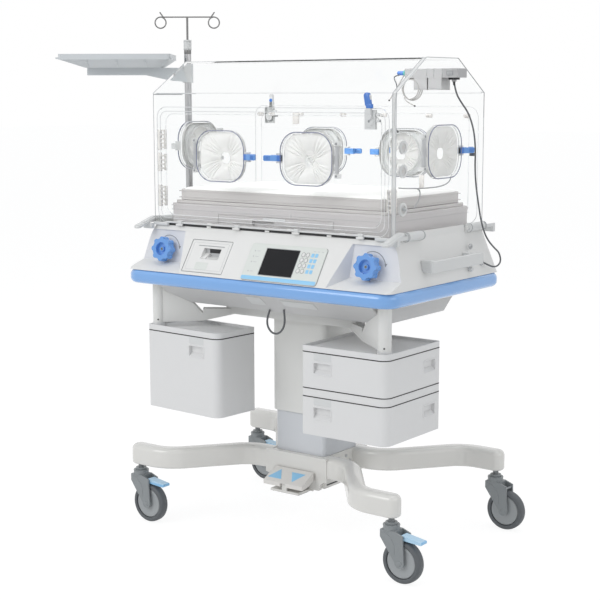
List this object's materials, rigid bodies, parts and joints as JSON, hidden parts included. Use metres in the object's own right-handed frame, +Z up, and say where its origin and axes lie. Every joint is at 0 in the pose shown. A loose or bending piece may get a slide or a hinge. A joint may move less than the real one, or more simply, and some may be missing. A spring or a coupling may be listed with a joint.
{
  "type": "infant incubator",
  "caption": "Infant incubator: clear hood with front door and hand ports over a tilting mattress, on a lifting column with bins, pole, shelf and casters.",
  "frame": {"origin": "on the floor under the middle of the lifting column and of the four caster stems", "axes": "+Z up, +X towards the incubator's right end, +Y towards its rear"},
  "size_m": [1.5398, 0.674, 1.6293],
  "materials": {
    "leg_paint": "satin",
    "column_paint": "satin",
    "caster_grey": "satin",
    "tyre_rubber": "matte",
    "pedal_blue": "gloss",
    "foot_beige": "matte",
    "shell_white": "satin",
    "bin_white": "satin",
    "blue_gloss": "gloss",
    "panel_grey": "satin",
    "display_black": "gloss",
    "handle_grey": "satin",
    "clear_acrylic": "gloss",
    "latch_blue": "gloss",
    "cuff_white": "matte",
    "tray_clear": "gloss",
    "mattress_white": "matte",
    "pole_metal": "satin",
    "module_grey": "satin",
    "cable_grey": "satin"
  },
  "bodies": {
    "base": {"base_block": "leg_paint", "front_legs": "leg_paint", "rear_legs": "leg_paint", "column_inner": "column_paint"},
    "lift": {"column_outer": "column_paint", "support_frame": "column_paint", "lower_pan": "shell_white", "deck_housing": "shell_white", "bumper": "blue_gloss", "control_panel": "panel_grey", "display": "display_black", "side_handles": "handle_grey", "bed_base": "shell_white", "infusion_pole": "pole_metal", "bin_lids": "bin_white", "sensor_cable_lower": "cable_grey", "loop_cable": "cable_grey"},
    "rocker": {"foot_rocker": "foot_beige"},
    "canopy_body": {"canopy": "clear_acrylic", "hood_cuffs": "cuff_white", "sensor_module": "module_grey", "sensor_cable_upper": "cable_grey"},
    "front_door_body": {"front_door": "clear_acrylic", "front_cuffs": "cuff_white"},
    "drawer": {"reservoir_drawer": "shell_white"},
    "knob_left": {"tilt_knob_left": "blue_gloss"},
    "knob_right": {"tilt_knob_right": "blue_gloss"},
    "cradle": {"tilt_cradle": "tray_clear"},
    "tray": {"mattress_tray": "tray_clear", "mattress": "mattress_white"},
    "hook": {"infusion_hook": "pole_metal"},
    "shelf": {"instrument_shelf": "shell_white"},
    "bin_left": {"left_bin": "bin_white"},
    "bin_right_upper": {"right_bin_upper": "bin_white"},
    "bin_right_lower": {"right_bin_lower": "bin_white"},
    "swivel_front_left": {"caster_fork_front_left": "caster_grey"},
    "wheel_front_left": {"wheel_front_left": "tyre_rubber"},
    "pedal_front_left": {"brake_pedal_front_left": "pedal_blue"},
    "swivel_front_right": {"caster_fork_front_right": "caster_grey"},
    "wheel_front_right": {"wheel_front_right": "tyre_rubber"},
    "pedal_front_right": {"brake_pedal_front_right": "pedal_blue"},
    "swivel_rear_left": {"caster_fork_rear_left": "caster_grey"},
    "wheel_rear_left": {"wheel_rear_left": "tyre_rubber"},
    "pedal_rear_left": {"brake_pedal_rear_left": "pedal_blue"},
    "swivel_rear_right": {"caster_fork_rear_right": "caster_grey"},
    "wheel_rear_right": {"wheel_rear_right": "tyre_rubber"},
    "catch_front_left": {"corner_catch_front_left": "handle_grey"},
    "catch_front_right": {"corner_catch_front_right": "handle_grey"},
    "catch_rear_left": {"corner_catch_rear_left": "handle_grey"},
    "catch_rear_right": {"corner_catch_rear_right": "handle_grey"},
    "latch_front": {"door_latch_front": "latch_blue"},
    "latch_rear": {"door_latch_rear": "latch_blue"},
    "port_front_left": {"port_door_front_left": "clear_acrylic"},
    "port_front_right": {"port_door_front_right": "clear_acrylic"},
    "port_rear_left": {"port_door_rear_left": "clear_acrylic"},
    "port_rear_right": {"port_door_rear_right": "clear_acrylic"},
    "port_end_left": {"port_door_end_left": "clear_acrylic"},
    "port_end_right": {"port_door_end_right": "clear_acrylic"}
  },
  "joints": [
    {"name": "column_lift", "type": "slide", "parent": "base", "child": "lift", "axis": [0, 0, 1], "range_m": [-0.1, 0.1]},
    {"name": "foot_rocker_tilt", "type": "hinge", "parent": "base", "child": "rocker", "pos_m": [0, -0.147, 0.16], "axis": [0, 1, 0], "range_deg": [-4, 4], "stiffness_Nm_per_rad": 3.3},
    {"name": "swivel_front_left", "type": "hinge", "parent": "base", "child": "swivel_front_left", "pos_m": [-0.48, -0.302, 0.18], "axis": [0, 0, 1], "continuous": true},
    {"name": "wheel_spin_front_left", "type": "hinge", "parent": "swivel_front_left", "child": "wheel_front_left", "pos_m": [-0.44, -0.302, 0.0625], "axis": [0, 1, 0], "continuous": true},
    {"name": "brake_front_left", "type": "hinge", "parent": "swivel_front_left", "child": "pedal_front_left", "pos_m": [-0.434, -0.302, 0.134], "axis": [0, 1, 0], "range_deg": [0, 12]},
    {"name": "swivel_front_right", "type": "hinge", "parent": "base", "child": "swivel_front_right", "pos_m": [0.48, -0.302, 0.18], "axis": [0, 0, 1], "continuous": true},
    {"name": "wheel_spin_front_right", "type": "hinge", "parent": "swivel_front_right", "child": "wheel_front_right", "pos_m": [0.52, -0.302, 0.0625], "axis": [0, 1, 0], "continuous": true},
    {"name": "brake_front_right", "type": "hinge", "parent": "swivel_front_right", "child": "pedal_front_right", "pos_m": [0.526, -0.302, 0.134], "axis": [0, 1, 0], "range_deg": [0, 12]},
    {"name": "swivel_rear_left", "type": "hinge", "parent": "base", "child": "swivel_rear_left", "pos_m": [-0.48, 0.302, 0.18], "axis": [0, 0, 1], "continuous": true},
    {"name": "wheel_spin_rear_left", "type": "hinge", "parent": "swivel_rear_left", "child": "wheel_rear_left", "pos_m": [-0.44, 0.302, 0.0625], "axis": [0, 1, 0], "continuous": true},
    {"name": "brake_rear_left", "type": "hinge", "parent": "swivel_rear_left", "child": "pedal_rear_left", "pos_m": [-0.434, 0.302, 0.134], "axis": [0, 1, 0], "range_deg": [0, 12]},
    {"name": "swivel_rear_right", "type": "hinge", "parent": "base", "child": "swivel_rear_right", "pos_m": [0.48, 0.302, 0.18], "axis": [0, 0, 1], "continuous": true},
    {"name": "wheel_spin_rear_right", "type": "hinge", "parent": "swivel_rear_right", "child": "wheel_rear_right", "pos_m": [0.52, 0.302, 0.0625], "axis": [0, 1, 0], "continuous": true},
    {"name": "reservoir_pull", "type": "slide", "parent": "lift", "child": "drawer", "axis": [0, -1, 0], "range_m": [0, 0.13]},
    {"name": "knob_left_turn", "type": "hinge", "parent": "lift", "child": "knob_left", "pos_m": [-0.382, -0.26233, 0.88], "axis": [0, -0.9864, 0.1644], "range_deg": [0, 720]},
    {"name": "knob_right_turn", "type": "hinge", "parent": "lift", "child": "knob_right", "pos_m": [0.382, -0.26233, 0.88], "axis": [0, -0.9864, 0.1644], "range_deg": [0, 720]},
    {"name": "cradle_tilt", "type": "hinge", "parent": "lift", "child": "cradle", "pos_m": [0.4, 0, 1.0233], "axis": [0, 1, 0], "range_deg": [0, 12]},
    {"name": "tray_tilt", "type": "hinge", "parent": "cradle", "child": "tray", "pos_m": [-0.388, 0, 1.0336], "axis": [0, -1, 0], "range_deg": [0, 12]},
    {"name": "canopy_tilt", "type": "hinge", "parent": "lift", "child": "canopy_body", "pos_m": [0, 0.253, 0.963], "axis": [-1, 0, 0], "range_deg": [0, 50]},
    {"name": "front_door_drop", "type": "hinge", "parent": "canopy_body", "child": "front_door_body", "pos_m": [0, -0.2526, 0.966], "axis": [1, 0, 0], "range_deg": [0, 90]},
    {"name": "catch_front_left", "type": "hinge", "parent": "lift", "child": "catch_front_left", "pos_m": [-0.463, -0.176, 0.966], "axis": [0, -1, 0], "range_deg": [0, 50]},
    {"name": "catch_front_right", "type": "hinge", "parent": "lift", "child": "catch_front_right", "pos_m": [0.463, -0.176, 0.966], "axis": [0, 1, 0], "range_deg": [0, 50]},
    {"name": "catch_rear_left", "type": "hinge", "parent": "lift", "child": "catch_rear_left", "pos_m": [-0.463, 0.176, 0.966], "axis": [0, -1, 0], "range_deg": [0, 50]},
    {"name": "catch_rear_right", "type": "hinge", "parent": "lift", "child": "catch_rear_right", "pos_m": [0.463, 0.176, 0.966], "axis": [0, 1, 0], "range_deg": [0, 50]},
    {"name": "latch_front", "type": "hinge", "parent": "front_door_body", "child": "latch_front", "pos_m": [0.372, -0.2676, 1.3], "axis": [0, 1, 0], "range_deg": [0, 90]},
    {"name": "latch_rear", "type": "hinge", "parent": "canopy_body", "child": "latch_rear", "pos_m": [-0.372, 0.254, 1.3], "axis": [0, -1, 0], "range_deg": [0, 90]},
    {"name": "port_front_left", "type": "hinge", "parent": "front_door_body", "child": "port_front_left", "pos_m": [-0.264, -0.2656, 1.177], "axis": [0, 0, -1], "range_deg": [0, 140]},
    {"name": "port_front_right", "type": "hinge", "parent": "front_door_body", "child": "port_front_right", "pos_m": [0.264, -0.2656, 1.177], "axis": [0, 0, 1], "range_deg": [0, 140]},
    {"name": "port_rear_left", "type": "hinge", "parent": "canopy_body", "child": "port_rear_left", "pos_m": [-0.264, 0.252, 1.177], "axis": [0, 0, 1], "range_deg": [0, 140]},
    {"name": "port_rear_right", "type": "hinge", "parent": "canopy_body", "child": "port_rear_right", "pos_m": [0.264, 0.252, 1.177], "axis": [0, 0, -1], "range_deg": [0, 140]},
    {"name": "port_end_left", "type": "hinge", "parent": "canopy_body", "child": "port_end_left", "pos_m": [-0.462, 0.084, 1.197], "axis": [0, 0, -1], "range_deg": [0, 40]},
    {"name": "port_end_right", "type": "hinge", "parent": "canopy_body", "child": "port_end_right", "pos_m": [0.462, -0.124, 1.197], "axis": [0, 0, -1], "range_deg": [0, 140]},
    {"name": "hook_rise", "type": "slide", "parent": "lift", "child": "hook", "axis": [0, 0, 1], "range_m": [0, 0.25]},
    {"name": "shelf_swivel", "type": "hinge", "parent": "lift", "child": "shelf", "pos_m": [-0.555, 0.037, 1.427], "axis": [0, 0, 1], "range_deg": [-70, 5]},
    {"name": "bin_left_swing", "type": "hinge", "parent": "lift", "child": "bin_left", "pos_m": [-0.426, -0.262, 0.5], "axis": [0, 0, 1], "range_deg": [-86, 4]},
    {"name": "bin_right_upper_swing", "type": "hinge", "parent": "lift", "child": "bin_right_upper", "pos_m": [0.426, -0.262, 0.57], "axis": [0, 0, 1], "range_deg": [0, 90]},
    {"name": "bin_right_lower_swing", "type": "hinge", "parent": "lift", "child": "bin_right_lower", "pos_m": [0.426, -0.262, 0.43], "axis": [0, 0, 1], "range_deg": [0, 90]}
  ],
  "couplings": [
    {"joint": "knob_left_turn", "follows": "cradle_tilt", "ratio": 60},
    {"joint": "knob_right_turn", "follows": "tray_tilt", "ratio": 60}
  ]
}
